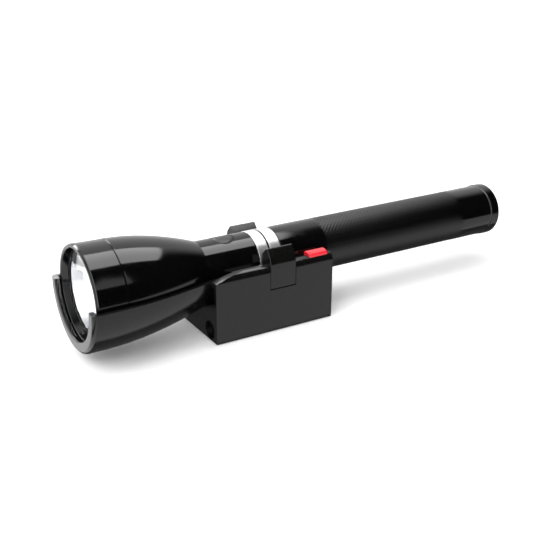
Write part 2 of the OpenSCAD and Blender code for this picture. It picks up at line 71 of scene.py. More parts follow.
barrel_low, barrel_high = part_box("barrel")
axis_z = (barrel_low[2] + barrel_high[2]) / 2 / MM
lamp_x = barrel_low[0] / MM - NECK_FRONT_X


def to_row(x, y, z):
    """A point of the lamp's frame, in metres in the row's frame."""
    return Vector(((x + lamp_x) * MM, y * MM, (z + axis_z) * MM))


# ---- Sizes that several pieces share ----

BARREL_R = 15.5
BORE_R = 13.7
CAP_R = 26.85
CAP_FRONT_X = node_span("face_cap")[0][0]
CAP_SEAM_X = -98.8
NECK_X = -48.0
LENS_X = node_span("lens")[0][0]
LENS_R = 24.3
LENS_T = 2.0
BARREL_END_X = node_span("barrel")[1][0]
TAIL_X = node_span("tail_cap")[1][0]
RING_FRONT_X = node_span("front_charge_ring")[0][0]
RING_GAP_X = -9.2
RING_REAR_X = node_span("rear_charge_ring")[1][0]
SWITCH_X = -32.0
KNURL_FRONT_X = 27.0
KNURL_REAR_X = 129.5
KNURL_ACROSS = 40
KNURL_ALONG = 43
LIP_X = node_span("head_cup")[0][0]
CUP_END_X = node_span("head_cup")[1][0]
CUP_RIM_Z = node_span("head_cup")[1][2]
CUP_R = 30.8
CUP_WALL = 2.5
CUP_FLARE_X = -110.0
CUP_NECK_X = -49.0
ARM_X = node_span("near_contact_arm")[0][0]
ARM_END_X = node_span("near_contact_arm")[1][0]
ARM_TOP = node_span("near_contact_arm")[1][2]
HALF_W = node_span("cradle_base")[1][1]


# ---- Mesh helpers ----

def shade_smooth(mesh, sharp_deg):
    """Shades a mesh smooth, but keeps edges that turn by more than sharp_deg hard."""
    for face in mesh.polygons:
        face.use_smooth = True
    mesh.set_sharp_from_angle(angle=math.radians(sharp_deg))


def finish_mesh(name, mesh, body, sharp_deg=32.0):
    """Makes a piece of a mesh, links it, and lets it ride on its body."""
    shade_smooth(mesh, sharp_deg)
    piece = bpy.data.objects.new(name, mesh)
    bpy.context.scene.collection.objects.link(piece)
    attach(piece, body)
    return piece


def mesh_from(name, points, faces):
    """A mesh from lamp-frame points, with its normals pointing outwards."""
    merge_distance = 1e-7
    mesh = bpy.data.meshes.new(name)
    mesh.from_pydata([to_row(*p) for p in points], [], faces)
    work = bmesh.new()
    work.from_mesh(mesh)
    bmesh.ops.remove_doubles(work, verts=work.verts, dist=merge_distance)
    bmesh.ops.recalc_face_normals(work, faces=work.faces)
    work.to_mesh(mesh)
    work.free()
    return mesh


def rounded(points, radii, steps=4):
    """A closed outline with each corner replaced by an arc; radii has one value per corner."""
    straight_deg = 176
    longest_share = 0.48
    count = len(points)
    result = []
    for i, corner in enumerate(points):
        before = Vector(points[i - 1])
        here = Vector(corner)
        after = Vector(points[(i + 1) % count])
        to_before = before - here
        to_after = after - here
        angle = to_before.angle(to_after) if radii[i] else math.pi
        if angle > math.radians(straight_deg):
            result.append(tuple(here))
            continue
        reach = radii[i] / math.tan(angle / 2)
        reach = min(reach, longest_share * to_before.length, longest_share * to_after.length)
        size = reach * math.tan(angle / 2)
        start = here + to_before.normalized() * reach
        end = here + to_after.normalized() * reach
        inward = (to_before.normalized() + to_after.normalized()).normalized()
        centre = here + inward * (size / math.sin(angle / 2))
        for k in range(steps + 1):
            mix = start.lerp(end, k / steps) - centre
            result.append(tuple(centre + mix.normalized() * size))
    return result


def strip_faces(sections, count, closed=True):
    """Quads between neighbouring sections of count points each; closed joins the last to the first."""
    faces = []
    for i in range(sections if closed else sections - 1):
        here = i * count
        there = (i + 1) % sections * count
        for j in range(count):
            k = (j + 1) % count
            faces.append((here + j, here + k, there + k, there + j))
    return faces


def end_faces(count, last):
    """Caps on the first section and on the one whose points start at last."""
    return [tuple(range(count)), tuple(last + j for j in reversed(range(count)))]


def lathe(name, outline, body, segments=256):
    """A closed solid of revolution about the barrel's axis, from a closed (x, radius) outline."""
    points = []
    for i in range(segments):
        a = 2 * math.pi * i / segments
        points += [(x, r * math.cos(a), r * math.sin(a)) for x, r in outline]
    mesh = mesh_from(name, points, strip_faces(segments, len(outline)))
    return even_shading(finish_mesh(name, mesh, body))


def lathe_up(name, outline, body, centre_x, follow_z):
    """A solid of revolution about the vertical axis at centre_x, from a closed (radius, z) outline.

    What is above follow_z bends down with the barrel's surface.
    """
    segments = 96
    points = []
    for i in range(segments):
        a = 2 * math.pi * i / segments
        for r, z in outline:
            y = r * math.sin(a)
            drop = BARREL_R - math.sqrt(BARREL_R ** 2 - y * y) if z > follow_z else 0.0
            points.append((centre_x + r * math.cos(a), y, z - drop))
    mesh = mesh_from(name, points, strip_faces(segments, len(outline)))
    return even_shading(finish_mesh(name, mesh, body))


def half_lathe(name, outline, body, rim_z):
    """Like lathe, but only the part below rim_z, closed by a flat rim on each side."""
    segments = 128
    count = len(outline)
    points = []
    for i in range(segments + 1):
        for x, r in outline:
            rim = math.asin(rim_z / r)
            a = rim - (math.pi + 2 * rim) * i / segments
            points.append((x, r * math.cos(a), r * math.sin(a)))
    faces = strip_faces(segments + 1, count, closed=False) + end_faces(count, segments * count)
    return finish_mesh(name, mesh_from(name, points, faces), body)


def extrude_x(name, outline, x0, x1, body, side):
    """A bar along X from a (y, z) outline; side -1 mirrors it to the near side."""
    count = len(outline)
    points = [(x, side * y, z) for x in (x0, x1) for y, z in outline]
    faces = strip_faces(2, count, closed=False) + end_faces(count, count)
    return finish_mesh(name, mesh_from(name, points, faces), body)


def even_shading(piece):
    """Keeps broad faces flat in shading, right up to the small chamfers at their edges."""
    modifier = piece.modifiers.new("even_shading", "WEIGHTED_NORMAL")
    modifier.keep_sharp = True
    return piece


def coil(name, start, axis, length, radius, wire, turns, body):
    """A round-wire spring from start along axis, with its end coils closed; wire is the wire's radius."""
    per_turn = 24
    sides = 10
    along = Vector(axis)
    across = along.orthogonal().normalized()
    third = along.cross(across)
    steps = turns * per_turn
    points = []
    for i in range(steps + 1):
        a = 2 * math.pi * i / per_turn
        u = i / steps
        rise = wire + (length - 2 * wire) * (u * u * (3 - 2 * u))
        outward = across * math.cos(a) + third * math.sin(a)
        for j in range(sides):
            b = 2 * math.pi * j / sides
            offset = outward * (radius + wire * math.cos(b)) + along * (rise + wire * math.sin(b))
            points.append(tuple(Vector(start) + offset))
    faces = strip_faces(steps + 1, sides, closed=False) + end_faces(sides, steps * sides)
    return finish_mesh(name, mesh_from(name, points, faces), body, sharp_deg=50.0)


def bevel(piece, width, segments=3, angle=35.0):
    """Rounds a piece's hard edges, so that they catch the light."""
    modifier = piece.modifiers.new("edge_round", "BEVEL")
    modifier.width = width * MM
    modifier.segments = segments
    modifier.limit_method = "ANGLE"
    modifier.angle_limit = math.radians(angle)
    modifier.harden_normals = True


def cut(piece, cutter):
    """Cuts cutter out of piece, for good."""
    modifier = piece.modifiers.new("cut", "BOOLEAN")
    modifier.operation = "DIFFERENCE"
    modifier.solver = "EXACT"
    modifier.object = cutter
    graph = bpy.context.evaluated_depsgraph_get()
    mesh = bpy.data.meshes.new_from_object(piece.evaluated_get(graph))
    piece.modifiers.clear()
    piece.data = mesh
    bpy.data.objects.remove(cutter)


def upright_cutter(name, x, radius, z0, z1):
    """An upright cylinder through the barrel's middle line, used only to cut with."""
    segments = 96
    work = bmesh.new()
    place = Matrix.Translation(to_row(x, 0.0, (z0 + z1) / 2))
    bmesh.ops.create_cone(work, cap_ends=True, segments=segments, radius1=radius * MM,
                          radius2=radius * MM, depth=(z1 - z0) * MM, matrix=place)
    mesh = bpy.data.meshes.new(name)
    work.to_mesh(mesh)
    work.free()
    piece = bpy.data.objects.new(name, mesh)
    bpy.context.scene.collection.objects.link(piece)
    return piece


# ---- Materials ----

class Paint:
    """Builds one procedural material around a Principled shader."""

    def __init__(self, name, colour, roughness, metallic=0.0, **sockets):
        self.material = bpy.data.materials.new(name)
        self.material.use_nodes = True
        self.nodes = self.material.node_tree.nodes
        self.links = self.material.node_tree.links
        self.shader = self.nodes["Principled BSDF"]
        self.colour = colour
        self.roughness = roughness
        self.put("Base Color", (*colour, 1.0))
        self.put("Roughness", roughness)
        self.put("Metallic", metallic)
        for socket, value in sockets.items():
            self.put(socket.replace("_", " "), value)
        self.coords = self.nodes.new("ShaderNodeTexCoord").outputs["Object"]

    def put(self, socket, value):
        """Sets one value on the shader itself."""
        self.shader.inputs[socket].default_value = value

    def scaled(self, stretch):
        """Object coordinates stretched along X, Y and Z."""
        mapping = self.nodes.new("ShaderNodeMapping")
        mapping.inputs["Scale"].default_value = stretch
        self.links.new(self.coords, mapping.inputs["Vector"])
        return mapping.outputs["Vector"]

    def noise(self, grain_mm, detail=2.0, stretch=(1.0, 1.0, 1.0)):
        """Noise with features of about grain_mm."""
        texture = self.nodes.new("ShaderNodeTexNoise")
        texture.inputs["Scale"].default_value = 1000.0 / grain_mm
        texture.inputs["Detail"].default_value = detail
        self.links.new(self.scaled(stretch), texture.inputs["Vector"])
        return texture.outputs["Fac"]

    def spread(self, source, low, high):
        """Maps noise, which stays near its middle, to the range from low to high."""
        node = self.nodes.new("ShaderNodeMapRange")
        node.inputs["From Min"].default_value = 0.3
        node.inputs["From Max"].default_value = 0.7
        node.inputs["To Min"].default_value = low
        node.inputs["To Max"].default_value = high
        self.links.new(source, node.inputs["Value"])
        return node.outputs["Result"]

    def vary_roughness(self, grain_mm, amount, **kwargs):
        """Makes the surface a little glossier and duller in patches of about grain_mm."""
        low = max(0.0, self.roughness - amount)
        value = self.spread(self.noise(grain_mm, **kwargs), low, self.roughness + amount)
        self.links.new(value, self.shader.inputs["Roughness"])
        return self

    def vary_colour(self, grain_mm, amount, **kwargs):
        """Lightens and darkens the base colour by a fraction."""
        mix = self.nodes.new("ShaderNodeMix")
        mix.data_type = "RGBA"
        mix.inputs["A"].default_value = (*[c * (1 - amount) for c in self.colour], 1.0)
        mix.inputs["B"].default_value = (*[min(1.0, c * (1 + amount)) for c in self.colour], 1.0)
        self.links.new(self.spread(self.noise(grain_mm, **kwargs), 0.0, 1.0), mix.inputs["Factor"])
        self.links.new(mix.outputs["Result"], self.shader.inputs["Base Color"])
        return self

    def fade(self, socket, near, far, at_near, at_far):
        """Changes a socket with the distance from the origin, in metres."""
        length = self.nodes.new("ShaderNodeVectorMath")
        length.operation = "LENGTH"
        self.links.new(self.coords, length.inputs[0])
        node = self.nodes.new("ShaderNodeMapRange")
        node.inputs["From Min"].default_value = near
        node.inputs["From Max"].default_value = far
        node.inputs["To Min"].default_value = at_near
        node.inputs["To Max"].default_value = at_far
        self.links.new(length.outputs["Value"], node.inputs["Value"])
        self.links.new(node.outputs["Result"], self.shader.inputs[socket])
        return self

    def bump(self, grain_mm, height_mm, **kwargs):
        """Adds fine relief of about height_mm."""
        node = self.nodes.new("ShaderNodeBump")
        node.inputs["Strength"].default_value = 1.0
        node.inputs["Distance"].default_value = height_mm * MM
        self.links.new(self.noise(grain_mm, **kwargs), node.inputs["Height"])
        previous = self.shader.inputs["Normal"].links
        if previous:
            self.links.new(previous[0].from_socket, node.inputs["Normal"])
        self.links.new(node.outputs["Normal"], self.shader.inputs["Normal"])
        return self


def make_materials():
    """One material for each of the record's slots; around and along draw the grain out that way."""
    around = (40.0, 1.0, 1.0)
    along = (0.02, 1.0, 1.0)
    paints = {
        "anodised_black": Paint("anodised_black", (0.0015, 0.0015, 0.0017), 0.10)
        .vary_roughness(9.0, 0.02).vary_colour(14.0, 0.12).bump(0.35, 0.0006),
        "bare_aluminium": Paint("bare_aluminium", (0.62, 0.62, 0.64), 0.34, 1.0)
        .vary_roughness(2.0, 0.06, stretch=around).vary_colour(5.0, 0.05).bump(0.6, 0.004, stretch=around),
        "bright_ring": Paint("bright_ring", (0.76, 0.76, 0.77), 0.36, 1.0)
        .vary_roughness(0.8, 0.05, stretch=around).vary_colour(1.2, 0.12, stretch=around)
        .bump(0.4, 0.02, stretch=around),
        "reflector_coat": Paint("reflector_coat", (0.93, 0.93, 0.94), 0.05, 1.0)
        .vary_roughness(6.0, 0.02).vary_colour(12.0, 0.02).bump(3.0, 0.008),
        "lens_clear": Paint("lens_clear", (0.97, 0.98, 0.99), 0.02, Transmission_Weight=1.0, IOR=1.5)
        .vary_roughness(8.0, 0.01),
        "cradle_plastic": Paint("cradle_plastic", (0.003, 0.003, 0.0029), 0.18)
        .vary_roughness(0.7, 0.03).vary_colour(6.0, 0.08).bump(0.45, 0.002, detail=3.0),
        "black_nylon": Paint("black_nylon", (0.004, 0.004, 0.004), 0.3, Specular_IOR_Level=0.2)
        .vary_roughness(1.0, 0.06).vary_colour(4.0, 0.1).bump(0.5, 0.01),
        "cell_body": Paint("cell_body", (0.05, 0.12, 0.38), 0.28)
        .vary_roughness(3.0, 0.05).vary_colour(9.0, 0.06).bump(4.0, 0.01, stretch=along),
        "sleeve_card": Paint("sleeve_card", (0.62, 0.6, 0.54), 0.7)
        .vary_roughness(2.0, 0.08).vary_colour(5.0, 0.08).bump(0.8, 0.02),
        "black_rubber": Paint("black_rubber", (0.006, 0.006, 0.006), 0.38)
        .vary_roughness(1.2, 0.07).vary_colour(5.0, 0.12).bump(0.4, 0.015),
        "spring_steel": Paint("spring_steel", (0.6, 0.6, 0.62), 0.25, 1.0)
        .vary_roughness(1.0, 0.07).vary_colour(3.0, 0.08).bump(0.4, 0.003),
        "zinc_steel": Paint("zinc_steel", (0.62, 0.63, 0.66), 0.32, 1.0)
        .vary_roughness(1.2, 0.07).vary_colour(2.0, 0.07).bump(0.5, 0.004),
        "contact_brass": Paint("contact_brass", (0.82, 0.64, 0.3), 0.26, 1.0)
        .vary_roughness(1.0, 0.07).vary_colour(2.5, 0.08).bump(0.5, 0.004),
        "board_green": Paint("board_green", (0.015, 0.12, 0.05), 0.35)
        .vary_roughness(2.0, 0.06).vary_colour(2.0, 0.25).bump(1.2, 0.02),
        "board_white": Paint("board_white", (0.82, 0.82, 0.8), 0.4)
        .vary_roughness(1.0, 0.06).vary_colour(2.0, 0.04).bump(0.6, 0.01),
        "led_phosphor": Paint("led_phosphor", (0.86, 0.68, 0.14), 0.25)
        .vary_roughness(0.6, 0.08).vary_colour(0.7, 0.1).bump(0.4, 0.01),
        "lens_red": Paint("lens_red", (0.62, 0.012, 0.022), 0.22, Subsurface_Weight=0.25,
                          Subsurface_Radius=(0.004, 0.0006, 0.0006), Coat_Weight=0.4)
        .vary_roughness(1.5, 0.05).vary_colour(4.0, 0.1).bump(0.9, 0.01),
        "led_red": Paint("led_red", (0.6, 0.04, 0.04), 0.15)
        .vary_roughness(0.8, 0.05).vary_colour(1.5, 0.1),
    }
    return {slot: paint.material for slot, paint in paints.items()}


materials = make_materials()


def dress(piece, slot):
    """Gives a new piece a slot's finish."""
    piece.data.materials.clear()
    piece.data.materials.append(materials[slot])


def dress_cad_nodes():
    """Gives every CAD node its slot's finish."""
    for entry in frame["record"]["subparts"]:
        node = frame["nodes"][entry["node"]]
        if not node.material_slots:
            node.data.materials.append(materials[entry["material_slot"]])
        for holder in node.material_slots:
            holder.material = materials[entry["material_slot"]]


# ---- Flashlight ----

def head_radius(x):
    """Outer radius of the head shell at x: widest at the cap's seam, with a curved taper to the neck."""
    widest_r = 26.35
    taper = 10.4
    power = 1.85
    along = max(0.0, (x - CAP_SEAM_X) / (NECK_X - CAP_SEAM_X))
    return widest_r - taper * along ** power


def build_face_cap():
    """The face cap: a rounded front rim, and inside it the step that holds the lens."""
    bore_r = 24.4
    mouth_r = 23.5
    rim_in_r = 25.1
    rim_front_r = CAP_R - 0.55
    bead_x = CAP_FRONT_X + 0.9
    bead_depth = 0.25
    rear_x = CAP_SEAM_X - 0.25
    lens_seat_x = LENS_X - 0.5
    outline = rounded([
        (rear_x, bore_r), (rear_x, head_radius(CAP_SEAM_X)),
        (CAP_FRONT_X + 6, CAP_R - bead_depth), (bead_x + 0.4, CAP_R), (bead_x, CAP_R - bead_depth),
        (CAP_FRONT_X, rim_front_r), (CAP_FRONT_X, rim_in_r), (CAP_FRONT_X + 0.5, rim_in_r - 0.5),
        (lens_seat_x, mouth_r), (lens_seat_x, bore_r)],
        [0.0, 0.25, 3.0, 0.2, 0.15, 0.3, 0.2, 0.2, 0.2, 0.0], steps=5)
    cap = lathe("face_cap_shell", outline, "head")
    dress(cap, "anodised_black")
    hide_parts("face_cap")


def build_head_shell():
    """The head shell: a smooth flare outside, and inside it room for the reflector and the neck."""
    steps = 48
    neck_bore_r = 14.25
    mouth_r = 23.3
    socket_r = 24.35
    socket_x = CAP_FRONT_X + 7.4
    seam_r = head_radius(CAP_SEAM_X)
    xs = [CAP_SEAM_X + (NECK_X - CAP_SEAM_X) * i / steps for i in range(1, steps)]
    front = [(socket_x, mouth_r), (socket_x, socket_r), (CAP_SEAM_X, socket_r), (CAP_SEAM_X, seam_r - 0.3),
             (CAP_SEAM_X + 0.15, seam_r - 0.08), (CAP_SEAM_X + 0.4, seam_r)]
    flare = [(x, head_radius(x)) for x in xs]
    neck = [(NECK_X - 0.2, 16.0), (NECK_X - 0.05, 15.95), (NECK_X, 15.8), (NECK_X, neck_bore_r)]
    inside = [(-68.0, neck_bore_r), (-68.0, 19.5), (-76.0, 21.4), (-84.0, 22.6), (-92.0, 22.8),
              (-100.0, mouth_r)]
    shell = lathe("head_shell_body", front + flare + neck + inside, "head")
    dress(shell, "anodised_black")
    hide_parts("head_shell")


def build_lens():
    """A flat glass disc with a small round on each edge."""
    rear_x = LENS_X + LENS_T
    edge_round = 0.25
    outline = rounded([(LENS_X, 0.0), (LENS_X, LENS_R), (rear_x, LENS_R), (rear_x, 0.0)],
                      [0.0, edge_round, edge_round, 0.0])
    lens = lathe("lens_disc", outline, "head", segments=128)
    dress(lens, "lens_clear")
    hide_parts("lens")


def build_reflector():
    """A parabolic bowl with a hole for the emitter, and a flat rim behind the lens."""
    focal = 5.0
    hole_r = 4.0
    mouth_r = 22.0
    mouth_x = LENS_X + LENS_T
    apex_x = mouth_x + mouth_r ** 2 / (4 * focal)
    wall_x = 1.3
    wall_r = 0.9
    rim_rear_x = mouth_x + 1.0
    rim_inner_r = 22.7
    steps = 40
    radii = [hole_r + (mouth_r - hole_r) * i / steps for i in range(steps + 1)]
    inner = [(apex_x - r * r / (4 * focal), r) for r in radii]
    back = [(apex_x + wall_x - r * r / (4 * focal), r + wall_r) for r in reversed(radii)]
    rim = [(mouth_x, LENS_R), (rim_rear_x, LENS_R), (rim_rear_x, rim_inner_r)]
    reflector = lathe("reflector_bowl", inner + rim + back, "head")
    dress(reflector, "reflector_coat")
    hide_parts("reflector")


def knurl_height(turn, x):
    """0 in a knurl groove, 1 in a diamond's middle; turn is the angle as a fraction of a full turn."""
    u = turn * KNURL_ACROSS
    v = (x - KNURL_FRONT_X) / (KNURL_REAR_X - KNURL_FRONT_X) * KNURL_ALONG
    first = abs(((u + v) % 1.0) - 0.5) * 2
    second = abs(((u - v) % 1.0) - 0.5) * 2
    return 1.0 - max(first, second)


def build_barrel():
    """The barrel, with a diamond knurl cut into its grip."""
    per_diamond = 7
    segments = KNURL_ACROSS * per_diamond
    knurl_steps = KNURL_ALONG * per_diamond
    step = (KNURL_REAR_X - KNURL_FRONT_X) / knurl_steps
    depth = 0.3
    flat_from = 0.62
    run_out = 1.5
    sharp_deg = 40.0
    neck_r = 14.2
    neck_bore_r = 12.0
    neck_bore_end_x = -46.0
    seal_groove_r = 12.7
    seal_groove_front_x = -55.8
    seal_groove_rear_x = -54.2
    shoulder_x = NECK_X + 0.1
    ring_seat_r = 14.6
    ring_seat_front_x = RING_FRONT_X - 0.5
    ring_seat_rear_x = RING_REAR_X + 0.5
    edge = 0.1
    switch_hole_r = 6.5
    plain_front = [
        (NECK_FRONT_X, neck_bore_r), (NECK_FRONT_X, neck_r - 0.3), (NECK_FRONT_X + 0.3, neck_r),
        (seal_groove_front_x, neck_r), (seal_groove_front_x, seal_groove_r),
        (seal_groove_rear_x, seal_groove_r), (seal_groove_rear_x, neck_r),
        (shoulder_x, neck_r), (shoulder_x, BARREL_R - 0.25), (shoulder_x + 0.1, BARREL_R - 0.07),
        (shoulder_x + 0.3, BARREL_R), (ring_seat_front_x - edge, BARREL_R),
        (ring_seat_front_x, BARREL_R - edge), (ring_seat_front_x, ring_seat_r),
        (ring_seat_rear_x, ring_seat_r), (ring_seat_rear_x, BARREL_R - edge),
        (ring_seat_rear_x + edge, BARREL_R)]
    plain_rear = [
        (BARREL_END_X - 0.5, BARREL_R), (BARREL_END_X - 0.15, BARREL_R - 0.12),
        (BARREL_END_X, BARREL_R - 0.45), (BARREL_END_X, BORE_R),
        (neck_bore_end_x, BORE_R), (neck_bore_end_x, neck_bore_r)]
    knurl = [(KNURL_FRONT_X + step * k, BARREL_R) for k in range(knurl_steps + 1)]
    outline = plain_front + knurl + plain_rear
    first = len(plain_front)
    last = first + knurl_steps
    points = []
    for i in range(segments):
        turn = i / segments
        a = 2 * math.pi * turn
        for j, (x, r) in enumerate(outline):
            if first < j < last:
                height = min(1.0, knurl_height(turn, x) / flat_from)
                fade = min(1.0, (x - KNURL_FRONT_X) / run_out, (KNURL_REAR_X - x) / run_out)
                r = r - depth * fade * (1.0 - height)
            points.append((x, r * math.cos(a), r * math.sin(a)))
    mesh = mesh_from("barrel_tube", points, strip_faces(segments, len(outline)))
    barrel = finish_mesh("barrel_tube", mesh, "lamp", sharp_deg)
    cut(barrel, upright_cutter("switch_hole", SWITCH_X, switch_hole_r, 0.0, 20.0))
    shade_smooth(barrel.data, sharp_deg)
    even_shading(barrel)
    dress(barrel, "anodised_black")
    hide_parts("barrel")


def build_rings():
    """Two bright charging rings on their black insulator."""
    half_gap = 0.6
    inner_r = 15.0
    outer_r = BARREL_R + 0.05
    edge_round = 0.15
    for name, x0, x1 in (("front_charge_ring", RING_FRONT_X, RING_GAP_X - half_gap),
                         ("rear_charge_ring", RING_GAP_X + half_gap, RING_REAR_X)):
        outline = rounded([(x0, inner_r), (x0, outer_r), (x1, outer_r), (x1, inner_r)],
                          [0.0, edge_round, edge_round, 0.0])
        ring = lathe(name + "_band", outline, "lamp")
        dress(ring, "bright_ring")
        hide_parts(name)


def build_switch():
    """Rubber boot with fine ridges, inside its retaining ring, both flush with the barrel."""
    follow_z = 14.5
    edge_r = 5.2
    edge_z = 15.3
    rise = 0.4
    ridge_h = 0.05
    ridge_pitch = 1.25
    ridged_r = 4.2
    skirt_r = 5.1
    flange_r = 5.9
    flange_top_z = 13.3
    flange_low_z = 12.6
    hollow_r = 4.6
    retainer_in_r = 5.3
    retainer_out_r = 6.4
    retainer_low_z = 13.5
    steps = 24
    dome = []
    for k in range(steps + 1):
        r = edge_r * k / steps
        ridge = ridge_h * (0.5 + 0.5 * math.cos(2 * math.pi * r / ridge_pitch)) if r < ridged_r else 0.0
        dome.append((r, edge_z + rise * math.sqrt(1 - (r / edge_r) ** 2) + ridge - ridge_h))
    skirt = [(skirt_r, 14.4), (skirt_r, flange_top_z), (flange_r, flange_top_z), (flange_r, flange_low_z),
             (hollow_r, flange_low_z), (hollow_r, flange_top_z), (0.0, 14.2)]
    boot = lathe_up("switch_boot_dome", dome + skirt, "button", SWITCH_X, follow_z)
    dress(boot, "black_rubber")
    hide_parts("switch_boot")
    outline = rounded([
        (retainer_in_r, retainer_low_z), (retainer_in_r, edge_z + 0.05),
        (retainer_out_r, edge_z + 0.1), (retainer_out_r, retainer_low_z)], [0.0, 0.15, 0.1, 0.0])
    retainer = lathe_up("switch_retainer_ring", outline, "lamp", SWITCH_X, follow_z)
    dress(retainer, "black_nylon")
    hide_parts("switch_retainer")


def build_springs():
    """The switch spring under the button, and the battery spring in the tail."""
    seat_z = node_span("switch_spring")[0][2]
    spring_l = node_span("switch_spring")[1][2] - seat_z
    spring = coil("switch_spring_coil", (SWITCH_X, 0.0, seat_z), (0, 0, 1), spring_l,
                  radius=3.0, wire=0.3, turns=5, body="lamp")
    dress(spring, "spring_steel")
    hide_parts("switch_spring")
    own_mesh(spring)
    start_x = node_span("tail_spring")[0][0]
    spring_l = node_span("tail_spring")[1][0] - start_x
    spring = coil("tail_spring_coil", (start_x, 0.0, 0.0), (1, 0, 0), spring_l,
                  radius=7.6, wire=0.7, turns=6, body="tail")
    dress(spring, "spring_steel")
    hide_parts("tail_spring")


def build_barrel_edge():
    """The machined edge of the barrel's rear end, where the anodising is worn bright."""
    front_x = BARREL_END_X - 0.2
    rear_x = BARREL_END_X + 0.05
    inner_r = 15.1
    outer_r = BARREL_R + 0.02
    outline = [(front_x, inner_r), (front_x, outer_r), (rear_x, outer_r), (rear_x, inner_r)]
    dress(lathe("barrel_end_edge", outline, "lamp"), "bare_aluminium")


def build_tail_cap():
    """The tail cap: a plug with thread ridges and a seal groove, and a rounded cap with a dished end."""
    plug_x = node_span("tail_cap")[0][0]
    plug_r = BORE_R - 0.05
    ridge_h = 0.6
    root_r = plug_r - ridge_h
    pitch = 2.0
    lead = 1.0
    crest = 0.9
    slope = 0.3
    root = 0.5
    groove_x = plug_x + 8
    groove_end_x = groove_x + 1.6
    groove_r = plug_r - 1.2
    before_groove = 0.8
    hollow_r = 9.0
    hollow_end_x = plug_x + 14
    shoulder_x = BARREL_END_X + 0.1
    shoulder_r = 14.6
    cap_r = 15.95
    dish_x = TAIL_X - 0.8
    outline = [(plug_x, hollow_r), (plug_x, root_r), (plug_x + ridge_h, plug_r)]
    for k in range(int((groove_x - before_groove - plug_x - lead) / pitch)):
        start = plug_x + lead + k * pitch
        outline += [(start, plug_r), (start + crest, plug_r), (start + crest + slope, root_r),
                    (start + crest + slope + root, root_r)]
    outline += [(groove_x, plug_r), (groove_x, groove_r), (groove_end_x, groove_r),
                (groove_end_x, plug_r), (shoulder_x, plug_r)]
    outline += rounded([
        (shoulder_x, shoulder_r), (shoulder_x, cap_r), (TAIL_X - 1.6, cap_r),
        (TAIL_X, cap_r - 1.9), (TAIL_X, hollow_r + 0.6), (dish_x, hollow_r)],
        [0.0, 0.3, 1.6, 1.4, 0.3, 0.3], steps=7)
    outline += [(dish_x, 0.0), (hollow_end_x, 0.0), (hollow_end_x, hollow_r)]
    cap = lathe("tail_cap_shell", outline, "tail")
    dress(cap, "anodised_black")
    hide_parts("tail_cap")


# ---- Cradle ----

def cup_radius(x):
    """Outer radius of the head cup at x, tapering in a curve from the flare to the neck."""
    taper = 10.2
    power = 1.9
    along = max(0.0, (x - CUP_FLARE_X) / (CUP_NECK_X - CUP_FLARE_X))
    return CUP_R - taper * along ** power


def build_cup():
    """The half shell that holds the head, with a raised lip in front of the face cap."""
    steps = 40
    lip_rear_x = LIP_X + 3.1
    lip_r = 24.2
    xs = [CUP_FLARE_X + (CUP_NECK_X - CUP_FLARE_X) * i / steps for i in range(steps + 1)]
    outer = [(x, cup_radius(x)) for x in xs] + [(CUP_END_X, cup_radius(CUP_NECK_X))]
    inner = [(x, r - CUP_WALL) for x, r in reversed(outer)]
    lip = rounded([
        (lip_rear_x, CUP_R - CUP_WALL), (lip_rear_x, lip_r), (LIP_X, lip_r), (LIP_X, CUP_R),
        (LIP_X + 6.0, CUP_R)], [0.5, 0.6, 0.9, 2.5, 0.0], steps=8)
    cup = half_lathe("head_cup_shell", outer + inner + lip, "cradle", CUP_RIM_Z)
    bevel(cup, 1.15, segments=6)
    dress(cup, "cradle_plastic")
    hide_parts("head_cup")


def arm_outline():
    """Outline of a contact arm across the barrel, on the +Y side."""
    grip_y = 15.95
    inside_y = 22.9
    window_low_z = -9.45
    tail_low_z = -12.5
    corners = [
        (HALF_W, window_low_z), (HALF_W, 5.4), (HALF_W - 1.5, 9.2), (HALF_W - 4.6, ARM_TOP),
        (HALF_W - 5.4, ARM_TOP), (grip_y, 8.7), (grip_y, 0.9), (21.0, 0.8), (inside_y, -1.2),
        (inside_y, -5.0), (20.7, -7.5), (20.2, tail_low_z), (22.8, tail_low_z), (inside_y, window_low_z)]
    radii = [0.2, 6.0, 4.5, 0.35, 0.35, 0.5, 0.5, 0.5, 0.6, 0.5, 0.5, 0.0, 0.0, 0.3]
    return rounded(corners, radii, steps=6)


def build_arms():
    """The two contact arms, one on each side of the barrel."""
    for side, name in ((-1.0, "near"), (1.0, "far")):
        arm = extrude_x(name + "_arm_body", arm_outline(), ARM_X, ARM_END_X, name + "_arm", side)
        bevel(arm, 0.3, segments=3, angle=50.0)
        dress(arm, "cradle_plastic")
        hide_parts(name + "_contact_arm")


def round_cad_edges():
    """Small moulded or machined edges on the CAD nodes that show."""
    widths = {
        "cradle_base": 0.4, "bottom_cover": 0.3, "rubber_feet": 0.2, "indicator_lens": 0.25,
        "dc_jack": 0.2, "mounting_inserts": 0.15, "near_contact_plate": 0.1,
        "far_contact_plate": 0.1, "cover_screws": 0.1}
    for node, width in widths.items():
        bevel(frame["nodes"][node], width, segments=2, angle=40.0)


# ---- Floor, light and camera ----

def flat_sheet(name, corners):
    """One flat face from its corners, in metres."""
    mesh = bpy.data.meshes.new(name)
    mesh.from_pydata(corners, [], [tuple(range(len(corners)))])
    sheet = bpy.data.objects.new(name, mesh)
    bpy.context.scene.collection.objects.link(sheet)
    return sheet


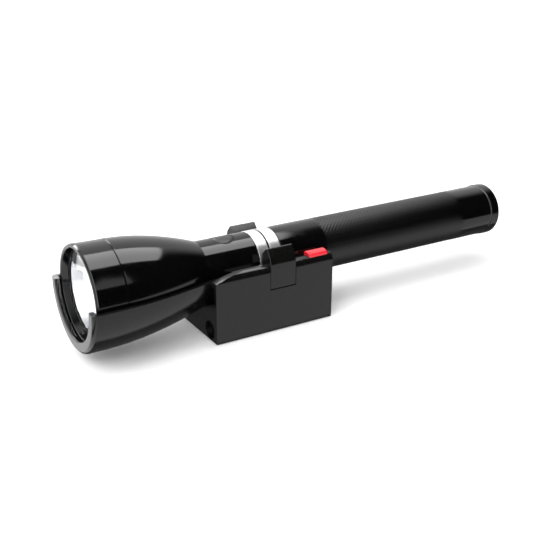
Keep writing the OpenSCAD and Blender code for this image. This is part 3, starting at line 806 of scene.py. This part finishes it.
def build_cards(low_y, high_y):
    """Glowing cards just below the floor, which only gloss sees: pale beside the object, a painted stand-in
    for the lit floor, and dark beneath it, a painted shadow where the floor lies in the object's shade.

    In front of the object, pale and dark strips give the face cap its bands.
    """
    card_z = -0.001
    front_x = -0.142
    near_y = -0.029
    far_y = 0.035
    end_x = 0.6
    pale = 0.85
    # painted light: the pale cards glow in place of the lit floor, whatever shadows fall on it
    cards = [("near_card", front_x, end_x, low_y, near_y, pale),
             # painted shadow: the card beneath the object glows only dimly, standing in for the floor's
             # shade in reflections
             ("painted_shadow_card", front_x, end_x, near_y, far_y, 0.12),
             ("far_card", front_x, end_x, far_y, high_y, pale),
             ("front_card", -end_x, front_x, 0.0, high_y, 1.6)]
    strip_edges = [front_x, -0.165, -0.180, -0.215, -0.235, -end_x]
    for k, (x1, x0) in enumerate(zip(strip_edges, strip_edges[1:])):
        kind, strength = ("dark", 0.03) if k % 2 else ("strip", 1.3)
        cards.append(("%s_card_%d" % (kind, k // 2 + 1), x0, x1, low_y, 0.0, strength))
    sheets = []
    for name, x0, x1, y0, y1, strength in cards:
        card = flat_sheet(name, [(x0, y0, card_z), (x1, y0, card_z), (x1, y1, card_z), (x0, y1, card_z)])
        card.data.materials.append(glow(name + "_glow", strength))
        card.visible_camera = False
        card.visible_diffuse = False
        card.visible_shadow = False
        sheets.append(card)
    return sheets


def build_floor():
    """A pale floor with painted light: it glows more away from the object, so it is paler there. Gloss sees
    the cards below it instead.
    """
    side_x = 8
    front_y = -6
    back_y = 12
    floor = flat_sheet("floor", [(-side_x, front_y, 0), (side_x, front_y, 0), (side_x, back_y, 0),
                                 (-side_x, back_y, 0)])
    paint = Paint("floor_paint", (0.9, 0.9, 0.9), 0.75).vary_colour(200.0, 0.004).vary_roughness(60.0, 0.03)
    paint.put("Emission Color", (1.0, 1.0, 1.0, 1.0))
    # painted light: the floor's glow is weak near the object and strong far from it
    paint.fade("Emission Strength", near=0.2, far=0.6, at_near=0.02, at_far=0.4)
    floor.data.materials.append(paint.material)
    floor.visible_glossy = False
    build_cards(-0.17, 0.8)


def build_surround():
    """A white wall far round the object, for the camera alone, so that every view ends in white."""
    distance = 5.5
    height = 6.0
    sides = 48
    turns = [2 * math.pi * i / sides for i in range(sides)]
    foot = [(distance * math.cos(a), distance * math.sin(a), 0.0) for a in turns]
    top = [(x, y, height) for x, y, _ in foot]
    faces = []
    for i in range(sides):
        k = (i + 1) % sides
        faces.append((i, k, sides + k, sides + i))
    mesh = bpy.data.meshes.new("surround")
    mesh.from_pydata(foot + top, [], faces)
    mesh.materials.append(glow("surround_glow", 1.05))
    wall = bpy.data.objects.new("surround", mesh)
    bpy.context.scene.collection.objects.link(wall)
    wall.visible_diffuse = False
    wall.visible_glossy = False
    wall.visible_transmission = False
    wall.visible_shadow = False


def glow(name, strength):
    """A plain white emission."""
    material = bpy.data.materials.new(name)
    material.use_nodes = True
    nodes = material.node_tree.nodes
    nodes.clear()
    emission = nodes.new("ShaderNodeEmission")
    emission.inputs["Strength"].default_value = strength
    output = nodes.new("ShaderNodeOutputMaterial")
    material.node_tree.links.new(emission.outputs["Emission"], output.inputs["Surface"])
    return material


def soft_box(name, place, aim, size, radiance):
    """A rectangular soft light at place, pointing at aim, in metres; radiance is how bright it looks."""
    lamp = bpy.data.lights.new(name, "AREA")
    lamp.shape = "RECTANGLE"
    lamp.size = size[0]
    lamp.size_y = size[1]
    lamp.energy = radiance * math.pi * size[0] * size[1]
    holder = bpy.data.objects.new(name, lamp)
    holder.location = place
    direction = Vector(aim) - Vector(place)
    holder.rotation_euler = direction.to_track_quat("-Z", "Y").to_euler()
    holder.visible_camera = False
    bpy.context.scene.collection.objects.link(holder)
    return holder


def build_world():
    """A studio that is pale behind the object and in front of its lens, and dark on the near side."""
    world = bpy.data.worlds.new("studio")
    world.use_nodes = True
    nodes = world.node_tree.nodes
    links = world.node_tree.links
    coords = nodes.new("ShaderNodeTexCoord")
    split = nodes.new("ShaderNodeSeparateXYZ")
    links.new(coords.outputs["Generated"], split.inputs["Vector"])

    def ramp(axis, dark_at, pale_at, strength):
        """Strength that rises smoothly from 0 as the direction's axis value goes from dark_at to pale_at."""
        node = nodes.new("ShaderNodeMapRange")
        node.interpolation_type = "SMOOTHSTEP"
        node.inputs["From Min"].default_value = dark_at
        node.inputs["From Max"].default_value = pale_at
        node.inputs["To Max"].default_value = strength
        links.new(split.outputs[axis], node.inputs["Value"])
        return node.outputs["Result"]

    brighter = nodes.new("ShaderNodeMath")
    brighter.operation = "MAXIMUM"
    links.new(ramp("Y", dark_at=-0.05, pale_at=0.4, strength=1.1), brighter.inputs[0])
    links.new(ramp("X", dark_at=-0.2, pale_at=-0.6, strength=3.2), brighter.inputs[1])
    links.new(brighter.outputs["Value"], nodes["Background"].inputs["Strength"])
    nodes["Background"].inputs["Color"].default_value = (1.0, 1.0, 1.0, 1.0)
    bpy.context.scene.world = world


def build_lights():
    """A low box above for the bands, one behind for the saddle, one at the side, and a broad fill."""
    soft_box("band_box", (0.0, 0.015, 0.335), (0.0, 0.015, 0.0), (0.30, 0.226), 4.5)
    back = soft_box("back_box", (-0.11, 0.66, 0.47), (-0.06, 0.0, 0.03), (0.40, 0.32), 9.0)
    back.visible_diffuse = False
    soft_box("side_box", (0.07, -0.58, 0.50), (-0.12, -0.02, 0.04), (0.21, 0.36), 1.0)
    fill = soft_box("fill", (-0.4, -0.9, 1.6), (0.0, 0.0, 0.0), (1.6, 1.2), 2.2)
    fill.visible_glossy = False


def build_camera():
    """Camera at the photograph's angle and distance, with its slight roll; place is in millimetres."""
    azimuth = math.radians(-31.324)
    elevation = math.radians(23.104)
    roll = math.radians(0.557)
    place = (-265.41, -439.9, 205.67)
    right = Vector((math.cos(azimuth), math.sin(azimuth), 0.0))
    back = Vector((math.sin(azimuth) * math.cos(elevation), -math.cos(azimuth) * math.cos(elevation),
                   math.sin(elevation)))
    up = back.cross(right)
    tilted_right = right * math.cos(roll) + up * math.sin(roll)
    tilted_up = up * math.cos(roll) - right * math.sin(roll)
    lens = bpy.data.cameras.new("camera")
    lens.sensor_width = 36.0
    lens.lens = 63.41
    lens.clip_start = 0.01
    holder = bpy.data.objects.new("camera", lens)
    turn = Matrix((tilted_right, tilted_up, back)).transposed().to_4x4()
    holder.matrix_world = Matrix.Translation(to_row(*place)) @ turn
    bpy.context.scene.collection.objects.link(holder)
    bpy.context.scene.camera = holder


dress_cad_nodes()
build_face_cap()
build_head_shell()
build_lens()
build_reflector()
build_barrel()
build_rings()
build_switch()
build_springs()
build_barrel_edge()
build_tail_cap()
build_cup()
build_arms()
round_cad_edges()
build_floor()
build_surround()
build_world()
build_lights()
build_camera()
bpy.context.scene.view_settings.view_transform = "Standard"
